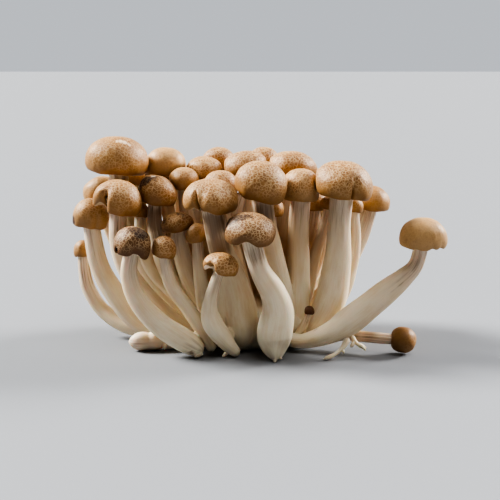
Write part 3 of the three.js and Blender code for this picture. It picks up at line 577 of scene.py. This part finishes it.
# WAIST is the height of a cap's widest place as a share of its height, and RIM_REACH the reach of
# its rim as a share of its radius. BULK says where the middle of its bulk is and how far that
# reaches. GIVE is how softly the flesh gives way to a neighbour, in millimetres.
COLUMNS = {"big": 216, "middle": 168, "small": 120}
COLUMNS_PER_GILL = 4
CROWN_STEPS = 16
SIDE_STEPS = 8
LIP_STEPS = 5
HOLLOW_STEPS = 7
DOWN_AT_WAIST = 0.65
LAYERS = ("down", "under", "torn", "dark", "pits", "tone", "net")
WAIST = 0.31
RIM_REACH = 0.86
GILL_DEPTH = 0.13
BULK_MIDDLE = 0.38
BULK_REACH = 0.53
BULK_RISE = 0.63
GIVE = 0.7
NETTED_IN_FRONT = 25
CLEAR_NET = 0.9
FAINT_NET = 0.45

# What sets single caps apart, by their place in the table. A crease is pressed into the skin: its
# bearing and half width in degrees, its depth, the way down from the crown, 0 to 1, where it
# starts, and how far its bearing drifts on its way to the rim. An arch lifts the rim: bearing, half
# width and height. A torn spot bares the flesh, a dark one is a brown bruise but painted shade in
# the pits of caps 4, 8 and 15 and along the fold of cap 21, and a pit is a small hole: bearing, way
# down from the crown, size in millimetres, and how strong or how deep it is. waist and reach stand
# in for WAIST and RIM_REACH. tone is darker above 0 and paler below it, and the paler tone of caps
# 2, 24 and 31 is painted light. net is how clear the pale net on the crown is.
MARKS = {
    1: dict(torn=[(268, 0.21, 1.1, 0.7), (282, 0.2, 1.3, 0.75), (296, 0.23, 1.3, 0.75),
                  (308, 0.28, 1.1, 0.7)], net=0.6),
    # Paler tone: painted light.
    2: dict(tone=-0.4, net=0.3),
    3: dict(tone=-0.3, net=0.3),
    4: dict(creases=[(230, 9, 0.3, 0.4, 10)], arches=[(222, 18, 0.3)], pits=[(236, 0.7, 1.5, 3)],
            dark=[(236, 0.72, 1.9, 1)], net=0.8),
    5: dict(creases=[(300, 10, 0.1, 0.3, 0)], dark=[(205, 0.75, 2.4, 0.8), (250, 0.15, 2, 0.6)],
            tone=-0.2, net=0.6),
    6: dict(creases=[(192, 16, 0.34, 0.1, 0)], torn=[(215, 0.12, 1, 0.8)],
            dark=[(196, 0.5, 4, 1), (215, 0.3, 3.6, 0.85), (260, 0.12, 3, 0.6)], tone=0.35,
            net=0.7),
    7: dict(tone=-0.2, net=0.3),
    8: dict(creases=[(219, 5, 0.2, 0.6, 0)], arches=[(290, 22, 0.22)], pits=[(219, 0.78, 0.9, 2)],
            dark=[(315, 0.14, 3.8, 0.85), (250, 0.08, 3, 0.7), (219, 0.78, 1.2, 1)],
            torn=[(280, 0.99, 1.2, 0.8), (300, 0.99, 1.2, 0.8)], tone=0.75),
    9: dict(waist=0.22, reach=0.92, tone=0.15),
    10: dict(dark=[(200, 0.4, 2.2, 0.45), (300, 0.2, 2.4, 0.5)], tone=0.3, net=0.7),
    11: dict(net=0.2),
    12: dict(tone=-0.2, net=0.5),
    13: dict(tone=-0.15, net=0.8),
    15: dict(creases=[(226, 4.5, 0.3, 0.3, 22)], arches=[(232, 14, 0.2), (262, 16, 0.18)],
             pits=[(247, 0.93, 1, 2.5)], dark=[(246, 0.93, 1.2, 1)]),
    19: dict(tone=-0.1),
    20: dict(tone=-0.2, net=0.3),
    21: dict(arches=[(266, 21, 0.3)], creases=[(180, 14, 0.2, 0.15, 0)],
             dark=[(184, 0.46, 3.2, 1), (190, 0.34, 3.2, 1), (200, 0.22, 3, 1), (230, 0.13, 2.6, 0.9),
                   (275, 0.08, 2, 0.7)], tone=0.55),
    22: dict(creases=[(236, 10, 0.3, 0.5, 0)], arches=[(222, 30, 0.45)],
             torn=[(208, 0.97, 2.6, 1), (238, 0.97, 2.4, 1), (255, 0.95, 1.4, 1)]),
    # Paler tone: painted light.
    24: dict(tone=-0.25, net=0.85),
    25: dict(creases=[(287, 2.4, 0.22, 0.5, 3)], tone=0.1),
    26: dict(waist=0.24, tone=-0.1, net=0.2),
    30: dict(tone=1, net=0),
    # Paler tone: painted light.
    31: dict(waist=0.26, reach=0.9, arches=[(250, 9, 0.06), (290, 8, 0.07), (320, 8, 0.06)],
             tone=-0.42, net=0.15),
    32: dict(waist=0.5, reach=0.42, net=0.15, tone=0.4),
}


def seeded_draw(seed):
    """Repeatable draws between 0 and 1."""
    state = seed * 7919 + 17
    while True:
        state = (state * 16807) % 2147483647
        yield state / 2147483647


def cap_profile(mushroom, marks):
    """The half section of a cap from its crown: reach, height, way down and share of underside."""
    radius = mushroom["wide"] / 2
    tall = mushroom["tall"]
    waist = marks.get("waist", WAIST) * tall
    reach = marks.get("reach", RIM_REACH)
    ceiling = CEILING * tall
    inner = min(mushroom["neck"] + 0.6, 0.6 * reach * radius)
    profile = []
    for k in range(CROWN_STEPS + 1):
        turn = math.pi / 2 * k / CROWN_STEPS
        rise = (tall - waist) * math.cos(turn) ** 0.96 if k < CROWN_STEPS else 0
        down = DOWN_AT_WAIST * k / CROWN_STEPS
        profile.append((radius * math.sin(turn) ** 0.98, waist + rise, down, 0))
    for k in range(1, SIDE_STEPS + 1):
        turn = math.pi / 2 * k / SIDE_STEPS
        across = reach + (1 - reach) * math.cos(turn)
        down = DOWN_AT_WAIST + (1 - DOWN_AT_WAIST) * k / SIDE_STEPS
        profile.append((radius * across, waist * (1 - math.sin(turn)), down, 0))
    for k in range(1, LIP_STEPS + 1):
        turn = math.pi * 0.7 * k / LIP_STEPS
        across = reach - 0.08 * math.sin(turn)
        profile.append((radius * across, 0.08 * tall * (1 - math.cos(turn)), 1, k / LIP_STEPS))
    start, rise = profile[-1][0], profile[-1][1]
    for k in range(1, HOLLOW_STEPS + 1):
        share = k / HOLLOW_STEPS
        height = rise + (ceiling - rise) * math.sin(share * math.pi / 2)
        profile.append((start + (inner - start) * share, height, 1, 1))
    profile.append((0.5 * inner, ceiling, 1, 1))
    profile.append((0, ceiling, 1, 1))
    return profile


def bearing_gap(bearing, other):
    """How many degrees one bearing is from another."""
    return abs((bearing - other + 540) % 360 - 180)


def bulk_of(mushroom):
    """The middle of a cap's bulk, its axis, and its reach across and up."""
    axis = Vector(mushroom["axis"]).normalized()
    centre = Vector(mushroom["rim"]) + axis * (BULK_MIDDLE * mushroom["tall"])
    return centre, axis, BULK_REACH * mushroom["wide"], BULK_RISE * mushroom["tall"]


def reach_of(bulk, direction):
    """How far a cap's bulk reaches from its middle in one direction."""
    rise = direction.dot(bulk[1])
    side = math.sqrt(max(0, 1 - rise * rise))
    return math.hypot(bulk[2] * side, bulk[3] * rise)


def press_planes(mushroom):
    """Where a cap's neighbours press on it: points and outward normals."""
    own = bulk_of(mushroom)
    planes = []
    for other in MUSHROOMS:
        if other is mushroom:
            continue
        bulk = bulk_of(other)
        normal = bulk[0] - own[0]
        distance = normal.length
        normal.normalize()
        own_reach = reach_of(own, normal)
        other_reach = reach_of(bulk, normal)
        if distance > own_reach + other_reach + CLEARANCE:
            continue
        share = distance * own_reach / (own_reach + other_reach) - CLEARANCE / 2
        planes.append((own[0] + normal * share, normal))
    return planes


def shape_point(x, y, z, down, under, mushroom, marks, phases, gills):
    """Where a point of the plain spun cap goes, with wobble, cleft, creases, arches and gills."""
    radius = mushroom["wide"] / 2
    tall = mushroom["tall"]
    bearing = math.degrees(math.atan2(y, x))
    outward = math.hypot(x, y) / radius
    if under == 1 and outward * radius < mushroom["neck"] + 0.5:
        return Vector((x, y, z))
    turn = math.radians(bearing)
    spread = 1 + 0.03 * math.sin(2 * turn + phases[0]) + 0.02 * math.sin(3 * turn + phases[1])
    lift = 0.03 * radius * math.sin(3 * turn + phases[2]) * outward ** 3
    lift += 0.012 * radius * math.sin(7 * turn + phases[0]) * outward ** 4
    low = max(0, 1 - z / (0.75 * tall))
    if "cleft" in mushroom:
        middle, half_width, depth = mushroom["cleft"]
        near = math.exp(-(bearing_gap(bearing, middle) / half_width) ** 2)
        spread -= 0.6 * depth * near * outward ** 4
    for middle, half_width, depth, begin, drift in marks.get("creases", []):
        line = middle + drift * max(0, down - begin) / (1 - begin)
        near = math.exp(-(bearing_gap(bearing, line) / half_width) ** 2)
        spread -= depth * near * outward ** 3 * smooth(down, begin, begin + 0.3)
    for middle, half_width, height in marks.get("arches", []):
        near = math.exp(-(bearing_gap(bearing, middle) / half_width) ** 2)
        lift += height * tall * near * low * outward ** 2
    groove = 0
    if under == 1:
        groove = GILL_DEPTH * tall * (0.5 - 0.5 * math.cos(turn * gills))
        groove *= smooth(0.95 * RIM_REACH - outward, 0, 0.1)
    return Vector((x * spread, y * spread, z + lift + groove))


def spot(bearing, down, radius, middle, way, size, strength):
    """What a spot adds at a place on the skin: 0 outside it, its strength in its middle."""
    across = math.radians(bearing_gap(bearing, middle)) * radius * math.sin(min(1, way + 0.1) * 1.57)
    along = (down - way) * radius * 1.6
    return strength * (1 - smooth(math.hypot(across, along), 0.4 * size, 1.1 * size))


def make_cap(mushroom, number):
    """One cap as a closed mesh in its place, with what its skin needs to know as attributes."""
    marks = MARKS.get(number, {})
    draw = seeded_draw(number)
    phases = [next(draw) * 6.28 for _ in range(3)]
    offset = Vector((number * 7.7, number * 3.3, number * 5.9))
    radius = mushroom["wide"] / 2
    size = "big" if mushroom["wide"] > 17 else "small" if mushroom["wide"] < 11 else "middle"
    columns = COLUMNS[size]
    plain_net = CLEAR_NET if number <= NETTED_IN_FRONT else FAINT_NET
    mesh = bmesh.new()
    layers = {name: mesh.verts.layers.float.new(name) for name in LAYERS}
    verts = []
    for reach, height, down, under in cap_profile(mushroom, marks):
        vert = mesh.verts.new((reach, 0, height))
        vert[layers["down"]] = down
        vert[layers["under"]] = under
        verts.append(vert)
    edges = [mesh.edges.new(pair) for pair in zip(verts, verts[1:])]
    bmesh.ops.spin(mesh, geom=verts + edges, cent=(0, 0, 0), axis=(0, 0, 1),
                   angle=2 * math.pi, steps=columns, use_merge=True)
    bmesh.ops.remove_doubles(mesh, verts=mesh.verts, dist=1e-5)
    bmesh.ops.recalc_face_normals(mesh, faces=mesh.faces)
    for vert in mesh.verts:
        x, y, z = vert.co
        down = vert[layers["down"]]
        under = vert[layers["under"]]
        bearing = math.degrees(math.atan2(y, x))
        for kind in ("torn", "dark", "pits"):
            shares = [spot(bearing, down, radius, *mark) for mark in marks.get(kind, [])]
            vert[layers[kind]] = max(shares, default=0)
        vert[layers["tone"]] = marks.get("tone", 0)
        vert[layers["net"]] = marks.get("net", plain_net)
        gills = columns / COLUMNS_PER_GILL
        vert.co = shape_point(x, y, z, down, under, mushroom, marks, phases, gills)
    axis = Vector(mushroom["axis"]).normalized()
    turn = Vector((0, 0, 1)).rotation_difference(axis).to_matrix().to_4x4()
    bmesh.ops.transform(mesh, matrix=Matrix.Translation(mushroom["rim"]) @ turn, verts=mesh.verts)
    planes = press_planes(mushroom)
    mesh.normal_update()
    for vert in mesh.verts:
        point = vert.co.copy()
        if vert[layers["under"]] < 1:
            swell = 0.035 * radius * noise.noise(point / (0.8 * radius) + offset)
            swell += 0.12 * noise.noise(point / 2.6) + 0.05 * noise.noise(point / 0.9)
            point += vert.normal * (swell - vert[layers["pits"]])
        for middle, normal in planes:
            beyond = (point - middle).dot(normal)
            if beyond > -5 * GIVE:
                point -= normal * (beyond + GIVE * math.log1p(math.exp(-beyond / GIVE)))
        vert.co = point * MM
    for face in mesh.faces:
        face.smooth = True
    return new_piece(mesh, f"mushroom_cap_{number:02d}")


def cap_skin():
    """Brown satin skin netted with pale lines over the crown, beige at the rim, cream gills under,
    with painted shade low on the sides, in some pits and a fold, and painted light on some caps.
    """
    finish = Finish("cap_skin")
    place = finish.place()
    down = finish.attribute("down")
    under = finish.attribute("under")
    torn = finish.attribute("torn")
    dark = finish.attribute("dark")
    tone = finish.attribute("tone")
    netted = finish.attribute("net")
    bend = finish.noise(place, 500, output="Color")
    bend = finish.vector_math("SUBTRACT", {0: bend, 1: (0.5, 0.5, 0.5)})
    bend = finish.vector_math("SCALE", {0: bend, "Scale": 0.0016})
    warped = finish.vector_math("ADD", {0: place, 1: bend})
    net = finish.cells(warped, 840, "DISTANCE_TO_EDGE", "Distance")
    cell = finish.cells(warped, 840, "F1", "Color")
    cell_tone = finish.node("ShaderNodeSeparateColor", {}, {"Color": cell})
    wide_tone = finish.noise(place, 75, detail=3)
    blotch = finish.noise(place, 330, detail=4, roughness=0.6)
    fine_tone = finish.noise(place, 1600, detail=3)
    crown = finish.step(down + (wide_tone - 0.5) * 0.6 + (blotch - 0.5) * 0.5, 0.82, 0.4) * netted
    light_brown = (0.45, 0.235, 0.072, 1)
    deep_brown = (0.31, 0.152, 0.046, 1)
    skin = finish.mix(finish.step(wide_tone, 0.32, 0.68), light_brown, deep_brown)
    # Painted shade: darker low on the sides of every cap.
    skin = finish.mix(finish.step(down, 0.45, 0.95) * 0.5, skin, (0.2, 0.105, 0.04, 1))
    skin = finish.mix(crown * 0.5, skin, (0.35, 0.18, 0.078, 1))
    # Darker or paler by each cap's tone; on caps 2, 24 and 31 paler as painted light.
    skin = finish.mix(finish.step(tone, 0.0, 1.0) * 0.9, skin, (0.085, 0.034, 0.014, 1))
    skin = finish.mix(finish.step(tone, 0.0, -1.0), skin, (0.74, 0.5, 0.26, 1))
    spots = finish.step(net, 0.04, 0.28) * finish.step(cell_tone, 0.1, 0.85) * crown
    skin = finish.mix(spots * 0.52, skin, (0.2, 0.085, 0.035, 1))
    skin = finish.mix(finish.step(blotch, 0.55, 0.7) * 0.3, skin, (0.22, 0.1, 0.04, 1))
    skin = finish.mix(finish.step(fine_tone, 0.52, 0.7) * 0.2, skin, (0.22, 0.11, 0.05, 1))
    # Dark spots: brown bruises, and painted shade in the pits of caps 4, 8 and 15 and along the fold
    # of cap 21.
    bruise_and_hollow_shade = finish.step(dark + (blotch - 0.5) * 1.8, 0.35, 0.8) * finish.step(dark, 0.0, 0.3)
    skin = finish.mix(bruise_and_hollow_shade * 0.95, skin, (0.045, 0.018, 0.01, 1))
    lines = finish.step(net, 0.15, 0.02) * crown * finish.step(blotch, 0.28, 0.46)
    lines = lines * (1 - bruise_and_hollow_shade * 0.65)
    skin = finish.mix(lines * 0.55, skin, (0.8, 0.58, 0.33, 1))
    edge = finish.step(down, 0.93, 1.0)
    skin = finish.mix(edge * 0.45, skin, (0.78, 0.62, 0.42, 1))
    ragged = finish.step(torn + (blotch - 0.5) * 1.2, 0.35, 0.55)
    skin = finish.mix(ragged * finish.step(torn, 0.0, 1.0) * 0.9, skin, (0.88, 0.72, 0.54, 1))
    colour = finish.mix(under, skin, (0.74, 0.62, 0.45, 1))
    height = lines * 0.35 + fine_tone * 0.25 + blotch * 0.5 - ragged * 0.5
    bump = finish.node("ShaderNodeBump", {}, {"Strength": 0.45, "Distance": 0.00035, "Height": height})
    finish.surface(Base_Color=colour, Roughness=0.4 + 0.22 * fine_tone, Normal=bump)
    finish.surface(Subsurface_Weight=0.1, Subsurface_Radius=(1.0, 0.45, 0.22))
    finish.surface(Subsurface_Scale=0.004)
    finish.surface(IOR=1.42)
    return finish.material


brown_skin = cap_skin()
for number, mushroom in enumerate(MUSHROOMS, start=1):
    cap = make_cap(mushroom, number)
    cap.data.materials.append(brown_skin)
    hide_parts(f"cap_{number:02d}")
    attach(cap, "root")


# The setting
# A plain pale floor, soft light from behind on both sides, a weak one from above in front, and the
# camera low in front.

FLOOR_SIZE = 30
LOOK_AT = Vector((0, 0, 0.037))
DISTANCE = 0.472
ELEVATION = math.radians(9)
LENS = 85


def pale_floor():
    """Plain matt grey."""
    finish = Finish("pale_floor")
    finish.surface(Base_Color=(0.215, 0.225, 0.245, 1), Roughness=0.75)
    return finish.material


def soft_light(name, place, strength, softness, colour):
    """A far soft light that shines from its place on the middle of the cluster."""
    data = bpy.data.lights.new(name, "SUN")
    data.angle = math.radians(softness)
    data.energy = strength
    data.color = colour
    light = bpy.data.objects.new(name, data)
    light.location = place
    light.rotation_euler = (Vector(place) - LOOK_AT).to_track_quat("Z", "Y").to_euler()
    bpy.context.scene.collection.objects.link(light)


def studio():
    """Soft light all round, bright behind the cluster and dim in front of it."""
    world = bpy.data.worlds.new("studio")
    world.use_nodes = True
    tree = world.node_tree
    place = tree.nodes.new("ShaderNodeTexCoord")
    parts = tree.nodes.new("ShaderNodeSeparateXYZ")
    tree.links.new(place.outputs["Generated"], parts.inputs[0])
    ramp = tree.nodes.new("ShaderNodeMapRange")
    ramp.interpolation_type = "SMOOTHSTEP"
    for name, value in (("From Min", -0.6), ("From Max", 0.9), ("To Min", 0.02), ("To Max", 0.6)):
        ramp.inputs[name].default_value = value
    tree.links.new(parts.outputs["Y"], ramp.inputs["Value"])
    sky = tree.nodes["Background"]
    sky.inputs["Color"].default_value = (0.8, 0.84, 0.9, 1)
    tree.links.new(ramp.outputs["Result"], sky.inputs["Strength"])
    bpy.context.scene.world = world


floor_mesh = bmesh.new()
bmesh.ops.create_grid(floor_mesh, x_segments=1, y_segments=1, size=FLOOR_SIZE / 2)
floor = new_piece(floor_mesh, "floor")
floor.data.materials.append(pale_floor())

soft_light("window_left", (-0.8, 0.3, 0.7), 8, 20, (1, 0.98, 0.93))
soft_light("window_right", (0.8, 0.45, 0.5), 5.5, 24, (1, 0.97, 0.93))
soft_light("room", (0.3, -0.4, 1), 1.15, 40, (1, 0.97, 0.92))
studio()

camera_data = bpy.data.cameras.new("camera")
camera_data.lens = LENS
camera = bpy.data.objects.new("camera", camera_data)
back = Vector((0, -math.cos(ELEVATION), math.sin(ELEVATION)))
camera.location = LOOK_AT + back * DISTANCE
camera.rotation_euler = back.to_track_quat("Z", "Y").to_euler()
bpy.context.scene.collection.objects.link(camera)
bpy.context.scene.camera = camera
bpy.context.scene.view_settings.look = "AgX - High Contrast"
